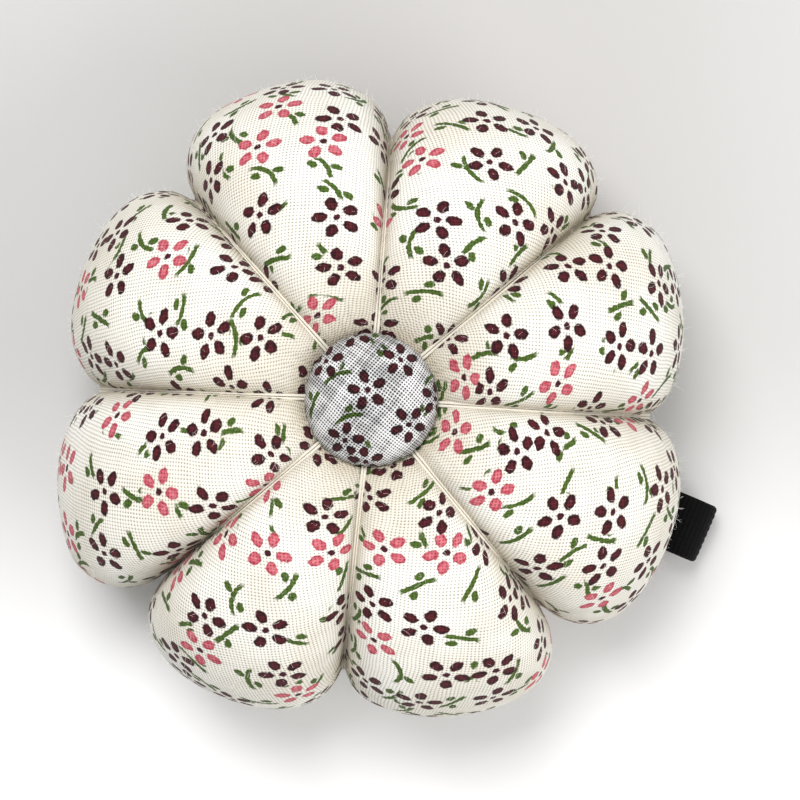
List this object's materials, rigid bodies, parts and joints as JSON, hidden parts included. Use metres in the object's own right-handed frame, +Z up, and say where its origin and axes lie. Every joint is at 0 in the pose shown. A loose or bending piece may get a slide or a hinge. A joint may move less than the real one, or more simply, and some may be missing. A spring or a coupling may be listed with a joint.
{
  "type": "wrist pin cushion",
  "caption": "Lobed wrist pin cushion in flower-printed cotton with a covered button on top and a black elastic band folded underneath.",
  "frame": {"origin": "on the cushion's axis, on the underside of the elastic's lower run, which lies on the table", "axes": "+Z up along the cushion's axis, towards the button; +X towards the side where the elastic's fold sticks out"},
  "size_m": [0.0908, 0.0864, 0.0395],
  "materials": {
    "printed_cotton": "matte",
    "fibre_fill": "matte",
    "cream_thread": "matte",
    "button_metal": "satin",
    "base_plastic": "matte",
    "base_felt": "matte",
    "black_elastic": "matte",
    "black_thread": "matte"
  },
  "bodies": {
    "cushion": {"fabric_cover": "printed_cotton", "stuffing": "fibre_fill", "cord_1": "cream_thread", "cord_2": "cream_thread", "cord_3": "cream_thread", "cord_4": "cream_thread", "cord_5": "cream_thread", "cord_6": "cream_thread", "cord_7": "cream_thread", "cord_8": "cream_thread", "tie_thread": "cream_thread", "gather_thread": "cream_thread", "base_disc": "base_plastic", "base_felt": "base_felt", "whip_stitches": "cream_thread", "band_held_run": "black_elastic", "band_stitches": "black_thread"},
    "button": {"button_cloth": "printed_cotton", "button_shell": "button_metal", "button_back_plate": "button_metal", "button_wire_loop": "button_metal"},
    "band_loop": {"band_free_end": "black_elastic"}
  },
  "joints": [
    {"name": "band_flop", "type": "hinge", "parent": "cushion", "child": "band_loop", "pos_m": [0.02415, 0, 0], "axis": [0, 1, 0], "range_deg": [0, 75], "stiffness_Nm_per_rad": 0.002},
    {"name": "button_turn", "type": "hinge", "parent": "cushion", "child": "button", "pos_m": [0, 0, 0.034], "axis": [0, 0, 1], "range_deg": [-25, 25], "stiffness_Nm_per_rad": 0.0001}
  ]
}
